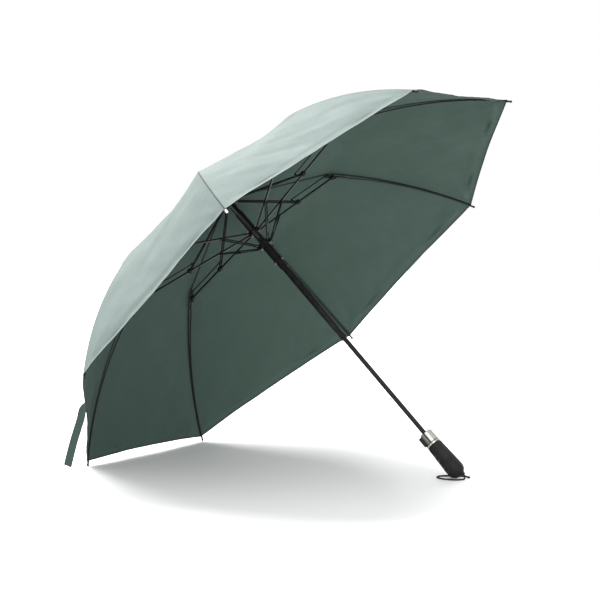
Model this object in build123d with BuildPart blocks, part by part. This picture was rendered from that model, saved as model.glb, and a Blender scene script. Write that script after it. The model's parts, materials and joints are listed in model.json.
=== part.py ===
"""Golf umbrella, open and resting on two rib tips and the end of its grip.

Every piece is modelled upright in the umbrella's own frame: Z runs along the shaft
towards the crown, and Z = 0 is the plane of the eight rib tips.  The finished pieces
are then tilted into the resting pose, where Z is up and the floor is Z = 0.
All lengths are in millimetres.
"""
import os
from math import acos, atan2, cos, degrees, hypot, radians, sin, tan

from build123d import *

# ---------------------------------------------------------------- driving dimensions
RIB_COUNT = 8
RIB_PITCH = 360 / RIB_COUNT
HALF_PITCH = RIB_PITCH / 2
TIP_RADIUS = 600.0              # shaft axis to rib tip
TIP_BEAD = 2.8                  # radius of the bead on each rib tip
BEYOND = 900.0                  # reaches past the whole umbrella, for cutting shapes

# Pivots of one rib, as (distance from the axis, height)
CROWN_PIVOT = (12.0, 246.0)
RUNNER_PIVOT = (13.0, 156.0)
ARM_PIVOT = (163.0, 185.0)      # upper arm on main stretcher
KNEE_PIVOT = (300.0, 211.0)     # main stretcher on outer rib
STRUT_HUB_PIVOT = (16.0, 118.0)
STRUT_REACH = 80.0              # runner pivot to strut pivot, along the stretcher
LINK_ARM_PIVOT = (149.2, 195.4)
LINK_HORN_PIVOT = (286.0, 220.5)
RIB_RISE = 21.0                 # how far the curved outer rib stands above its chord

# Layers across one rib: every moving bar keeps to its own layer
STRETCHER_HALF = 1.9
PLATE_INNER = 2.2
PLATE_OUTER = 3.0
LINK_INNER = 3.25
LINK_OUTER = 4.25
BAR_HEIGHT = 3.4
EYE_RADIUS = 2.2
PIN_RADIUS = 0.8
PIN_HOLE = 0.95
RIVET_HEAD = 1.2
RIVET_PROUD = 0.2

WEB_START = 12.0                # the upper arm's plates are joined from here
WEB_END = 88.0                  # to here, counted from the crown
WEB_THICKNESS = 0.8
GROOVE_HALF = 1.2               # half width of the stretcher's flute
GROOVE_FLOOR = 0.7              # how far the flute sits above the bar's middle
GROOVE_HEIGHT = 2.8
GROOVE_END = 5.0                # solid metal left round each pivot
BRACKET_REACH = 15.0            # the arm's horn starts this far before its pivot
STRUT_HEIGHT = 3.0
STRUT_WEB = (0.2, 0.45)         # the strut's plates are joined over this share of it
LINK_HEIGHT = 2.2
KNEE_EYE = 2.8
BRACKET_THROAT = 10.0           # clear space for the stretcher inside the knee bracket
ARC_STEPS = 24                  # equal steps along a curved rib: the rod starts at the
ROD_STEP = 1                    # first, inside the bracket that ends at the second
BRACKET_STEP = 2
ROD_RADIUS = 1.5
TIP_CAP_RADIUS = 2.0
TIP_CAP_LENGTH = 9.0

# Canopy
CLOTH_THICKNESS = 1.2
CLOTH_APEX = (8.0, 258.0)
CLOTH_KNEE = (300.0, 224.5)
CLOTH_HEM = (592.5, 13.0)
CLOTH_RISE = 18.4
ARC_FACETS = 4
SEAM_GAP = 0.03                 # keeps neighbouring gores apart

# Shaft
OUTER_TUBE_RADIUS = 7.0
OUTER_TUBE_BORE = 6.2
OUTER_TUBE_END = -158.0
OUTER_TUBE_TOP = 238.0
INNER_TUBE_RADIUS = 5.0
INNER_TUBE_BORE = 4.2
INNER_TUBE_TOP = -126.0
INNER_TUBE_END = -520.0
TUBE_PLUG_BORE = 2.0            # the outer tube's solid top inside the crown
SWELL_LENGTH = 12.0             # top of the inner tube, swollen to guide it
SLIDE_GAP = 0.1
BUSH_LENGTH = 4.0
BUSH_LIP = 1.6
BUSH_PROUD = 0.9
DETENT_RISE = 17.0              # rivet above the mouth of the outer tube
DETENT_PROUD = 0.08             # the lower runner passes over it
DETENT_RADIUS = 1.6
SPRING_RADIUS = 4.9
SPRING_LOW = 140.0
SPRING_PITCH = 7.5
SPRING_LENGTH = 90.0
SPRING_WIRE = 0.6

# Hubs
CROWN_SPAN = (238.0, 257.0)
CROWN_RADIUS = 15.5
CROWN_ROOF = 4.0                # solid metal above the crown's slots
HUB_WIDTH_GAP = 2.3             # half width of a runner slot for a stretcher
PLATE_SLOT = 3.3                # half width of a slot for a pair of plates
EYE_GAP = 0.5                   # between an eye and the floor of its slot
PIN_SEAT = 1.5                  # how far a hub's pin goes into each side of its slot
SLOT_REACH = 30.0
STRUT_PARKING = 14.1            # folded struts lie in the upper hub outside this radius
CAP_RADIUS = 17.0
CAP_HEIGHT = 4.6
CAP_BEVEL = (3.2, 9.0)
CAP_BASE = CLOTH_APEX[1] + CLOTH_THICKNESS + 0.2
FERRULE_RADIUS = 7.5
FERRULE_LENGTH = 9.0
FERRULE_ROUND = 2.5
RUNNER_BORE = 7.3
SLEEVE_RADIUS = 9.0
UPPER_HUB_SPAN = (150.5, 161.5)
UPPER_SLEEVE_TOP = 212.0
UPPER_HUB_RADIUS = 15.6
LOWER_HUB_SPAN = (112.5, 122.0)
LOWER_HUB_RADIUS = 18.6
LOWER_BODY_RADIUS = 9.6
LOWER_BODY_END = 68.0
LOWER_COLLAR_END = 47.0
LOWER_FLANGE = (12.5, 2.4)      # radius and thickness
LOWER_COLLAR_RADIUS = 8.4

# Handle
HANDLE_FRONT = 220.0            # direction of the button and finger grooves, degrees
COLLAR_SPAN = (-455.0, -429.0)
COLLAR_RADIUS = 15.7
TRIM_SPAN = (-459.5, -455.0)
GRIP_TOP = -460.0
GRIP_TOP_RADIUS = 16.3
GRIP_RADIUS = 19.0              # fattest part and dome
GRIP_DOME_HEIGHT = -526.0
GRIP_LIP = 3.0                  # rounding at the grip's top edge
GRIP_LIP_FLAT = 2.5
FINGER_GROOVES = 4
FINGER_FIRST = 19.0             # below the grip's top
FINGER_STEP = 14.5
FINGER_RADIUS = 11.0
FINGER_STANDOFF = 9.2           # from the rubber's surface to the groove's middle
CORE_RADIUS = 11.0
CORE_END = -538.0
CORE_FOOT = 16.0                # length of the core below the inner tube
CORE_FOOT_BORE = 3.0
COLLAR_ROUND = 2.0
TRIM_PROUD = 0.6
TRIM_ROUND = 0.8
BUTTON_WIDTH = 15.0
BUTTON_LENGTH = 20.0
BUTTON_PROUD = 3.0
BUTTON_MIDDLE = -442.0
BUTTON_FLOOR = 7.5              # radius of the recess floor behind the button
BUTTON_BACK = 11.0              # radius of the button's back face
BUTTON_GAP = 0.8
BUTTON_ROUND = 1.0
BUTTON_RIM = 2.0                # metal left under the recess
BUTTON_SPRING = (2.6, 1.9)      # outside and inside radius

# Wrist loop and tie strap
CORD_DIAMETER = 3.2
CORD_SPREAD = 2.6               # each cord end stands this far from the middle
PLUG_RADIUS = 5.2
PLUG_LENGTH = 9.0
PLUG_OFFSET = 6.0
PLUG_FACE = -547.0
CORD_LEAD = 7.0                 # straight run out of the plug
CORD_LIFT = 0.1                 # the cord lies this far above the floor
CORNER_SHARE = 0.45             # share of a run that each rounded corner may take
STRAP_WIDTH = 16.0
STRAP_THICKNESS = 1.2
STRAP_PLACE = 0.33              # along the hem, from the higher tip to the lower one
STRAP_GAP = 1.6                 # between the hem and the strap's near edge
STRAP_RISE = 6.0                # the strap starts this far above the hem
STRAP_SWING = 26.0
STRAP_DROP = 138.0
STRAP_BOW = (0.42, 0.42)        # where its middle hangs, as shares of swing and drop

# ---------------------------------------------------------------- resting pose
tip_drop = TIP_RADIUS * cos(radians(HALF_PITCH))
support_reach = hypot(tip_drop, GRIP_DOME_HEIGHT)
shaft_slope = acos((GRIP_RADIUS - TIP_BEAD) / support_reach) - atan2(-GRIP_DOME_HEIGHT, tip_drop)
shaft_tilt = degrees(shaft_slope)
tip_plane_height = tip_drop * cos(shaft_slope) + TIP_BEAD

pieces = []


def keep(label, part):
    """Name a finished piece in the upright frame."""
    part.label = label
    pieces.append(part)


def rib_plane(index):
    """Plane of one rib: x outwards from the shaft, y towards the crown."""
    angle = radians(HALF_PITCH + index * RIB_PITCH)
    return Plane(origin=(0, 0, 0), x_dir=(cos(angle), sin(angle), 0), z_dir=(sin(angle), -cos(angle), 0))


def handle_plane(height):
    """Plane across the shaft with x pointing to the front of the handle."""
    angle = radians(HANDLE_FRONT)
    return Plane(origin=(0, 0, height), x_dir=(cos(angle), sin(angle), 0), z_dir=(0, 0, 1))


def along(start, end, distance, lift=0.0):
    """Point at a distance from start towards end, lifted square to that line."""
    span = hypot(end[0] - start[0], end[1] - start[1])
    ux = (end[0] - start[0]) / span
    uy = (end[1] - start[1]) / span
    return (start[0] + ux * distance - uy * lift, start[1] + uy * distance + ux * lift)


def span_of(start, end):
    return hypot(end[0] - start[0], end[1] - start[1])


def slope_of(start, end):
    return degrees(atan2(end[1] - start[1], end[0] - start[0]))


def bar(start, end, height, mode=Mode.ADD):
    """Add or cut a straight bar with round ends in the current sketch."""
    middle = ((start[0] + end[0]) / 2, (start[1] + end[1]) / 2)
    with Locations(Location((*middle, 0), slope_of(start, end))):
        SlotOverall(span_of(start, end) + height, height, mode=mode)


def disc(centre, radius, mode=Mode.ADD):
    """Add or cut a round in the current sketch."""
    with Locations(centre):
        Circle(radius, mode=mode)


def cross_pin(plane, centre, radius, half_length):
    """Add a pin square to the rib plane to the current part."""
    with BuildSketch(plane) as section:
        disc(centre, radius)
    extrude(section.sketch, amount=half_length, both=True)


# ---------------------------------------------------------------- rib linkage
STRUT_PIVOT = along(RUNNER_PIVOT, ARM_PIVOT, STRUT_REACH)


def make_upper_arm(index):
    """Pair of plates from the crown to the stretcher, joined by a web near the crown."""
    plane = rib_plane(index)
    arm_length = span_of(CROWN_PIVOT, ARM_PIVOT)
    bracket_foot = along(CROWN_PIVOT, ARM_PIVOT, arm_length - BRACKET_REACH)
    web_lift = (BAR_HEIGHT - WEB_THICKNESS) / 2
    web_start = along(CROWN_PIVOT, ARM_PIVOT, WEB_START, web_lift)
    web_end = along(CROWN_PIVOT, ARM_PIVOT, WEB_END, web_lift)
    with BuildPart() as arm:
        with BuildSketch(plane):
            bar(CROWN_PIVOT, ARM_PIVOT, BAR_HEIGHT)
            disc(CROWN_PIVOT, EYE_RADIUS)
            disc(ARM_PIVOT, EYE_RADIUS)
            bar(bracket_foot, LINK_ARM_PIVOT, BAR_HEIGHT)
            disc(CROWN_PIVOT, PIN_HOLE, Mode.SUBTRACT)
        extrude(amount=PLATE_OUTER, both=True)
        with BuildSketch(plane):
            Rectangle(BEYOND, BEYOND)
            bar(web_start, web_end, WEB_THICKNESS, Mode.SUBTRACT)
        extrude(amount=PLATE_INNER, both=True, mode=Mode.SUBTRACT)
        with BuildSketch(plane.offset(PLATE_OUTER)):
            disc(LINK_ARM_PIVOT, PIN_RADIUS)
        extrude(amount=LINK_OUTER - PLATE_OUTER + RIVET_PROUD)
        for side in (1, -1):
            with BuildSketch(plane.offset(side * PLATE_OUTER)):
                disc(ARM_PIVOT, RIVET_HEAD)
            extrude(amount=side * RIVET_PROUD)
    keep(f"upper_arm_{index + 1}", arm.part)


def make_main_stretcher(index):
    """Fluted bar from the upper runner, past the upper arm, to the knee."""
    plane = rib_plane(index)
    with BuildPart() as stretcher:
        with BuildSketch(plane):
            bar(RUNNER_PIVOT, ARM_PIVOT, BAR_HEIGHT)
            bar(ARM_PIVOT, KNEE_PIVOT, BAR_HEIGHT)
            for pivot in (RUNNER_PIVOT, STRUT_PIVOT, ARM_PIVOT, KNEE_PIVOT):
                disc(pivot, EYE_RADIUS)
            disc(RUNNER_PIVOT, PIN_HOLE, Mode.SUBTRACT)
        extrude(amount=STRETCHER_HALF, both=True)
        with BuildSketch(plane):
            for start, end in ((RUNNER_PIVOT, STRUT_PIVOT), (STRUT_PIVOT, ARM_PIVOT), (ARM_PIVOT, KNEE_PIVOT)):
                reach = span_of(start, end) - GROOVE_END
                groove_start = along(start, end, GROOVE_END, GROOVE_FLOOR)
                groove_end = along(start, end, reach, GROOVE_FLOOR)
                bar(groove_start, groove_end, GROOVE_HEIGHT)
        extrude(amount=GROOVE_HALF, both=True, mode=Mode.SUBTRACT)
        with BuildSketch(plane):
            disc(KNEE_PIVOT, PIN_RADIUS)
        extrude(amount=PLATE_OUTER + RIVET_PROUD, both=True)
    keep(f"main_stretcher_{index + 1}", stretcher.part)


def make_lower_strut(index):
    """Pair of plates that push the stretcher up from the lower runner."""
    plane = rib_plane(index)
    strut_length = span_of(STRUT_HUB_PIVOT, STRUT_PIVOT)
    web_drop = -(BAR_HEIGHT - WEB_THICKNESS) / 2
    web_start = along(STRUT_HUB_PIVOT, STRUT_PIVOT, STRUT_WEB[0] * strut_length, web_drop)
    web_end = along(STRUT_HUB_PIVOT, STRUT_PIVOT, STRUT_WEB[1] * strut_length, web_drop)
    with BuildPart() as strut:
        with BuildSketch(plane):
            bar(STRUT_HUB_PIVOT, STRUT_PIVOT, STRUT_HEIGHT)
            disc(STRUT_HUB_PIVOT, EYE_RADIUS)
            disc(STRUT_PIVOT, EYE_RADIUS)
            disc(STRUT_HUB_PIVOT, PIN_HOLE, Mode.SUBTRACT)
        extrude(amount=PLATE_OUTER, both=True)
        with BuildSketch(plane):
            Rectangle(BEYOND, BEYOND)
            bar(web_start, web_end, WEB_THICKNESS, Mode.SUBTRACT)
        extrude(amount=PLATE_INNER, both=True, mode=Mode.SUBTRACT)
        for side in (1, -1):
            with BuildSketch(plane.offset(side * PLATE_OUTER)):
                disc(STRUT_PIVOT, RIVET_HEAD)
            extrude(amount=side * RIVET_PROUD)
    keep(f"lower_strut_{index + 1}", strut.part)


def make_control_link(index):
    """Thin flat link beside the rib, from the upper arm to the horn of the outer rib."""
    plane = rib_plane(index)
    with BuildPart() as link:
        with BuildSketch(plane.offset(LINK_INNER)):
            bar(LINK_ARM_PIVOT, LINK_HORN_PIVOT, LINK_HEIGHT)
            disc(LINK_ARM_PIVOT, EYE_RADIUS)
            disc(LINK_HORN_PIVOT, EYE_RADIUS)
            disc(LINK_ARM_PIVOT, PIN_HOLE, Mode.SUBTRACT)
        extrude(amount=LINK_OUTER - LINK_INNER)
        with BuildSketch(plane.offset(LINK_OUTER)):
            disc(LINK_HORN_PIVOT, PIN_RADIUS)
        extrude(amount=RIVET_PROUD)
    keep(f"control_link_{index + 1}", link.part)


def arc_between(start, end, rise):
    """Centre and radius of the arc from start to end that stands above its chord."""
    half = span_of(start, end) / 2
    radius = (half * half + rise * rise) / (2 * rise)
    centre = along(start, end, half, rise - radius)
    return centre, radius


def arc_points(start, end, rise, count):
    """Evenly spaced points along that arc, both ends included."""
    centre, radius = arc_between(start, end, rise)
    first = atan2(start[1] - centre[1], start[0] - centre[0])
    last = atan2(end[1] - centre[1], end[0] - centre[0])
    angles = [first + (last - first) * step / count for step in range(count + 1)]
    return [(centre[0] + radius * cos(angle), centre[1] + radius * sin(angle)) for angle in angles]


def make_outer_rib(index):
    """Curved rib with the plates of its knee bracket, and a bead on its tip."""
    plane = rib_plane(index)
    arc = arc_points(KNEE_PIVOT, (TIP_RADIUS, 0.0), RIB_RISE, ARC_STEPS)
    with BuildPart() as rib:
        with BuildSketch(plane):
            bar(KNEE_PIVOT, arc[BRACKET_STEP], BAR_HEIGHT)
            bar(KNEE_PIVOT, LINK_HORN_PIVOT, BAR_HEIGHT)
            disc(KNEE_PIVOT, KNEE_EYE)
            disc(LINK_HORN_PIVOT, EYE_RADIUS)
            disc(KNEE_PIVOT, PIN_HOLE, Mode.SUBTRACT)
        extrude(amount=PLATE_OUTER, both=True)
        with BuildSketch(plane):
            disc(KNEE_PIVOT, BRACKET_THROAT)
            bar(KNEE_PIVOT, LINK_HORN_PIVOT, 2 * EYE_RADIUS + 1)
        extrude(amount=PLATE_INNER, both=True, mode=Mode.SUBTRACT)
        with BuildLine(plane) as rib_line:
            ThreePointArc(arc[ROD_STEP], arc[ARC_STEPS // 2], arc[ARC_STEPS])
        with BuildSketch(Plane(origin=rib_line.line @ 0, z_dir=rib_line.line % 0)):
            Circle(ROD_RADIUS)
        sweep(path=rib_line.line)
        with BuildSketch(Plane(origin=rib_line.line @ 1, z_dir=rib_line.line % 1).offset(-TIP_CAP_LENGTH)):
            Circle(TIP_CAP_RADIUS)
        extrude(amount=TIP_CAP_LENGTH)
        with Locations(rib_line.line @ 1):
            Sphere(TIP_BEAD)
    keep(f"outer_rib_{index + 1}", rib.part)


# ---------------------------------------------------------------- canopy and crown
def make_canopy():
    """Eight gores, each stretched flat between two ribs and faceted along its curve."""
    rib_profile = [CLOTH_APEX] + arc_points(CLOTH_KNEE, CLOTH_HEM, CLOTH_RISE, ARC_FACETS)
    shrink = cos(radians(HALF_PITCH))
    lower = [(x * shrink, y) for x, y in rib_profile]
    upper = [(x, y + CLOTH_THICKNESS) for x, y in reversed(lower)]
    half_width = BEYOND * tan(radians(HALF_PITCH)) - SEAM_GAP
    with BuildPart() as canopy:
        for index in range(RIB_COUNT):
            turn = radians(index * RIB_PITCH)
            x_dir = (cos(turn), sin(turn), 0)
            gore_plane = Plane(origin=(0, 0, 0), x_dir=x_dir, z_dir=(sin(turn), -cos(turn), 0))
            with BuildPart(mode=Mode.PRIVATE) as gore:
                with BuildSketch(gore_plane):
                    with BuildLine():
                        Polyline(*lower, *upper, close=True)
                    make_face()
                extrude(amount=TIP_RADIUS, both=True)
                with BuildSketch(Plane(origin=(0, 0, 0), x_dir=x_dir, z_dir=(0, 0, 1))):
                    Polygon((SEAM_GAP, 0), (BEYOND, half_width), (BEYOND, -half_width), align=None)
                extrude(amount=BEYOND, mode=Mode.INTERSECT)
            add(gore.part)
    keep("canopy", canopy.part)


def ring(outer, bore, low, high):
    """Add a plain ring along the shaft to the current part."""
    with BuildSketch(Plane.XY.offset(low)) as section:
        Circle(outer)
        Circle(bore, mode=Mode.SUBTRACT)
    extrude(section.sketch, amount=high - low)


def slots(half_width, inner, low, high):
    """Cut one slot per rib, from a floor radius outwards."""
    with BuildSketch(Plane.XY.offset(low)) as section:
        with PolarLocations(inner + SLOT_REACH / 2, RIB_COUNT, start_angle=HALF_PITCH):
            Rectangle(SLOT_REACH, 2 * half_width)
    extrude(section.sketch, amount=high - low, mode=Mode.SUBTRACT)


def hub_pins(pivot, half_length):
    """Add one pin across each slot."""
    for index in range(RIB_COUNT):
        cross_pin(rib_plane(index), pivot, PIN_RADIUS, half_length)


def make_crown():
    low, high = CROWN_SPAN
    with BuildPart() as crown:
        ring(CROWN_RADIUS, OUTER_TUBE_RADIUS, low, high)
        slots(PLATE_SLOT, CROWN_PIVOT[0] - EYE_RADIUS - EYE_GAP, low, high - CROWN_ROOF)
        hub_pins(CROWN_PIVOT, PLATE_SLOT + PIN_SEAT)
    keep("crown", crown.part)


def make_top_cap():
    """Domed cap over the middle of the cloth."""
    with BuildPart() as cap:
        with BuildSketch(Plane.XY.offset(CAP_BASE)):
            Circle(CAP_RADIUS)
        extrude(amount=CAP_HEIGHT)
        chamfer(cap.faces().sort_by(Axis.Z)[-1].edges(), length=CAP_BEVEL[0], length2=CAP_BEVEL[1])
    keep("top_cap", cap.part)


def make_ferrule():
    """Blunt button screwed to the top of the shaft."""
    with BuildPart() as ferrule:
        with BuildSketch(Plane.XY.offset(CAP_BASE + CAP_HEIGHT)):
            Circle(FERRULE_RADIUS)
        extrude(amount=FERRULE_LENGTH)
        fillet(ferrule.faces().sort_by(Axis.Z)[-1].edges(), radius=FERRULE_ROUND)
    keep("ferrule", ferrule.part)


# ---------------------------------------------------------------- shaft and runners
def make_outer_tube():
    with BuildPart() as tube:
        ring(OUTER_TUBE_RADIUS, OUTER_TUBE_BORE, OUTER_TUBE_END, OUTER_TUBE_TOP)
        ring(OUTER_TUBE_RADIUS, TUBE_PLUG_BORE, OUTER_TUBE_TOP, CROWN_SPAN[1])
    keep("outer_tube", tube.part)


def make_inner_tube():
    with BuildPart() as tube:
        ring(INNER_TUBE_RADIUS, INNER_TUBE_BORE, INNER_TUBE_END, INNER_TUBE_TOP)
        ring(OUTER_TUBE_BORE - SLIDE_GAP, INNER_TUBE_BORE, INNER_TUBE_TOP - SWELL_LENGTH, INNER_TUBE_TOP)
    keep("inner_tube", tube.part)


def make_tube_sleeve():
    """Guide bush in the mouth of the outer tube."""
    outside = OUTER_TUBE_RADIUS + BUSH_PROUD
    with BuildPart() as sleeve:
        ring(outside, OUTER_TUBE_RADIUS, OUTER_TUBE_END, OUTER_TUBE_END + BUSH_LENGTH)
        ring(outside, INNER_TUBE_RADIUS + SLIDE_GAP, OUTER_TUBE_END - BUSH_LIP, OUTER_TUBE_END)
        fillet(sleeve.edges().filter_by(GeomType.CIRCLE).sort_by(Axis.Z)[-2:], radius=0.3)
    keep("tube_sleeve", sleeve.part)


def make_detent_rivet():
    """Bright rivet low on the outer tube, flat enough for the runner to pass."""
    plane = handle_plane(OUTER_TUBE_END + DETENT_RISE)
    with BuildPart() as rivet:
        with BuildSketch(Plane(origin=plane.origin, x_dir=(0, 0, 1), z_dir=-plane.x_dir)):
            Circle(DETENT_RADIUS)
        extrude(amount=OUTER_TUBE_RADIUS + DETENT_PROUD)
        with BuildSketch(Plane.XY.offset(OUTER_TUBE_END)):
            Circle(OUTER_TUBE_RADIUS)
        extrude(amount=2 * DETENT_RISE, mode=Mode.SUBTRACT)
    keep("detent_rivet", rivet.part)


def make_upper_runner():
    low, high = UPPER_HUB_SPAN
    with BuildPart() as runner:
        ring(SLEEVE_RADIUS, RUNNER_BORE, low, UPPER_SLEEVE_TOP)
        ring(UPPER_HUB_RADIUS, RUNNER_BORE, low, high)
        slots(HUB_WIDTH_GAP, RUNNER_PIVOT[0] - EYE_RADIUS - EYE_GAP, low, high)
        slots(PLATE_SLOT, STRUT_PARKING, low, high)
        ring(SLEEVE_RADIUS, RUNNER_BORE, low, UPPER_SLEEVE_TOP)
        hub_pins(RUNNER_PIVOT, HUB_WIDTH_GAP + PIN_SEAT)
    keep("upper_runner", runner.part)


def make_lower_runner():
    low, high = LOWER_HUB_SPAN
    with BuildPart() as runner:
        ring(LOWER_HUB_RADIUS, RUNNER_BORE, low, high)
        slots(PLATE_SLOT, STRUT_HUB_PIVOT[0] - EYE_RADIUS - EYE_GAP, low, high)
        ring(LOWER_BODY_RADIUS, RUNNER_BORE, LOWER_BODY_END, high)
        ring(LOWER_FLANGE[0], RUNNER_BORE, LOWER_BODY_END, LOWER_BODY_END + LOWER_FLANGE[1])
        ring(LOWER_COLLAR_RADIUS, RUNNER_BORE, LOWER_COLLAR_END, LOWER_BODY_END)
        hub_pins(STRUT_HUB_PIVOT, PLATE_SLOT + PIN_SEAT)
    keep("lower_runner", runner.part)


def make_opening_spring():
    """Compression spring sealed in the top of the outer tube."""
    with BuildPart() as spring:
        with BuildLine():
            coil = Helix(pitch=SPRING_PITCH, height=SPRING_LENGTH, radius=SPRING_RADIUS, center=(0, 0, SPRING_LOW))
        with BuildSketch(Plane(origin=coil @ 0, z_dir=coil % 0)):
            Circle(SPRING_WIRE)
        sweep(path=coil, is_frenet=True)
    keep("opening_spring", spring.part)


# ---------------------------------------------------------------- handle
def make_handle_core():
    """Plastic core that carries the inner tube inside the rubber grip."""
    low, high = CORE_END, TRIM_SPAN[0]
    with BuildPart() as core:
        ring(CORE_RADIUS, INNER_TUBE_RADIUS, low + CORE_FOOT, high)
        ring(CORE_RADIUS, CORE_FOOT_BORE, low, low + CORE_FOOT)
    keep("handle_core", core.part)


def make_grip():
    """Rubber grip with a domed end and finger grooves on its front."""
    with BuildPart() as grip:
        with BuildSketch(Plane.XZ):
            with BuildLine():
                lip_start = (GRIP_TOP_RADIUS - GRIP_LIP_FLAT, GRIP_TOP)
                lip_end = (GRIP_TOP_RADIUS, GRIP_TOP - GRIP_LIP)
                Line((0, GRIP_TOP), lip_start)
                RadiusArc(lip_start, lip_end, GRIP_LIP)
                Line(lip_end, (GRIP_RADIUS, GRIP_DOME_HEIGHT))
                RadiusArc((GRIP_RADIUS, GRIP_DOME_HEIGHT), (0, GRIP_DOME_HEIGHT - GRIP_RADIUS), GRIP_RADIUS)
                Line((0, GRIP_DOME_HEIGHT - GRIP_RADIUS), (0, GRIP_TOP))
            make_face()
        revolve(axis=Axis.Z)
        flare = (GRIP_RADIUS - GRIP_TOP_RADIUS) / (GRIP_TOP - GRIP_DOME_HEIGHT)
        for number in range(FINGER_GROOVES):
            height = GRIP_TOP - FINGER_FIRST - number * FINGER_STEP
            radius_here = GRIP_TOP_RADIUS + flare * (GRIP_TOP - height)
            front = handle_plane(height)
            side = Plane(origin=front.origin, x_dir=front.x_dir, z_dir=front.y_dir)
            with BuildSketch(side):
                with Locations((radius_here + FINGER_STANDOFF, 0)):
                    Circle(FINGER_RADIUS)
            extrude(amount=2 * GRIP_RADIUS, both=True, mode=Mode.SUBTRACT)
        with BuildSketch(Plane.XY.offset(CORE_END)):
            Circle(CORE_RADIUS)
        extrude(amount=GRIP_TOP - CORE_END, mode=Mode.SUBTRACT)
        with BuildSketch(Plane.XY.offset(PLUG_FACE)):
            with Locations((PLUG_OFFSET, 0)):
                Circle(PLUG_RADIUS)
        extrude(amount=PLUG_LENGTH, mode=Mode.SUBTRACT)
    keep("grip", grip.part)


def make_collar():
    """Metal collar above the grip, open at its front for the push button."""
    low, high = COLLAR_SPAN
    with BuildPart() as collar:
        ring(COLLAR_RADIUS, INNER_TUBE_RADIUS, low, high)
        fillet(collar.faces().sort_by(Axis.Z)[-1].edges().sort_by(SortBy.LENGTH)[-1], radius=COLLAR_ROUND)
        with BuildSketch(handle_plane(low + BUTTON_RIM)):
            with Locations((BUTTON_FLOOR, 0)):
                Rectangle(COLLAR_RADIUS, BUTTON_WIDTH + BUTTON_GAP, align=(Align.MIN, Align.CENTER))
        extrude(amount=high - low, mode=Mode.SUBTRACT)
    keep("collar", collar.part)


def make_trim_ring():
    low, high = TRIM_SPAN
    with BuildPart() as trim:
        ring(COLLAR_RADIUS + TRIM_PROUD, INNER_TUBE_RADIUS, low, high)
        fillet(trim.edges().filter_by(GeomType.CIRCLE).sort_by(SortBy.RADIUS)[-2:], radius=TRIM_ROUND)
    keep("trim_ring", trim.part)


def make_push_button():
    """Black button that slides into the front of the collar."""
    low = BUTTON_MIDDLE - BUTTON_LENGTH / 2
    with BuildPart() as button:
        with BuildSketch(handle_plane(low)):
            Circle(COLLAR_RADIUS + BUTTON_PROUD)
            with Locations((BUTTON_BACK, 0)):
                Rectangle(COLLAR_RADIUS, BUTTON_WIDTH, align=(Align.MIN, Align.CENTER), mode=Mode.INTERSECT)
        extrude(amount=BUTTON_LENGTH)
        fillet(button.edges().filter_by(Axis.Z).group_by(SortBy.DISTANCE)[-1], radius=BUTTON_ROUND)
    keep("push_button", button.part)


def make_button_spring():
    front = handle_plane(BUTTON_MIDDLE)
    spring_plane = Plane(origin=front.origin + front.x_dir * BUTTON_FLOOR, x_dir=front.y_dir, z_dir=front.x_dir)
    with BuildPart() as spring:
        with BuildSketch(spring_plane):
            Circle(BUTTON_SPRING[0])
            Circle(BUTTON_SPRING[1], mode=Mode.SUBTRACT)
        extrude(amount=BUTTON_BACK - BUTTON_FLOOR)
    keep("button_spring", spring.part)


def make_cord_plug():
    """Small plug in the end of the grip that the wrist loop comes out of."""
    with BuildPart() as plug:
        with BuildSketch(Plane.XY.offset(PLUG_FACE)):
            with Locations((PLUG_OFFSET, 0)):
                Circle(PLUG_RADIUS)
        extrude(amount=PLUG_LENGTH)
    keep("cord_plug", plug.part)


for rib_index in range(RIB_COUNT):
    make_upper_arm(rib_index)
    make_main_stretcher(rib_index)
    make_lower_strut(rib_index)
    make_control_link(rib_index)
    make_outer_rib(rib_index)
make_canopy()
make_crown()
make_top_cap()
make_ferrule()
make_outer_tube()
make_inner_tube()
make_tube_sleeve()
make_detent_rivet()
make_upper_runner()
make_lower_runner()
make_opening_spring()
make_handle_core()
make_grip()
make_collar()
make_trim_ring()
make_push_button()
make_button_spring()
make_cord_plug()

# ---------------------------------------------------------------- tilt into the resting pose
tilt = Location((0, 0, 0), (0, shaft_tilt - 90, 0))
tilted = [piece.moved(tilt) for piece in pieces]
boxes = [piece.bounding_box() for piece in tilted]
middle_x = (min(box.min.X for box in boxes) + max(box.max.X for box in boxes)) / 2
resting_shift = Location((-middle_x, 0, tip_plane_height))
resting = []
for piece, turned_piece in zip(pieces, tilted):
    placed = turned_piece.moved(resting_shift)
    placed.label = piece.label
    resting.append(placed)


def resting_point(x, y, z):
    """Where a point of the upright frame stands in the resting pose."""
    return (resting_shift * tilt * Location((x, y, z))).position


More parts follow.
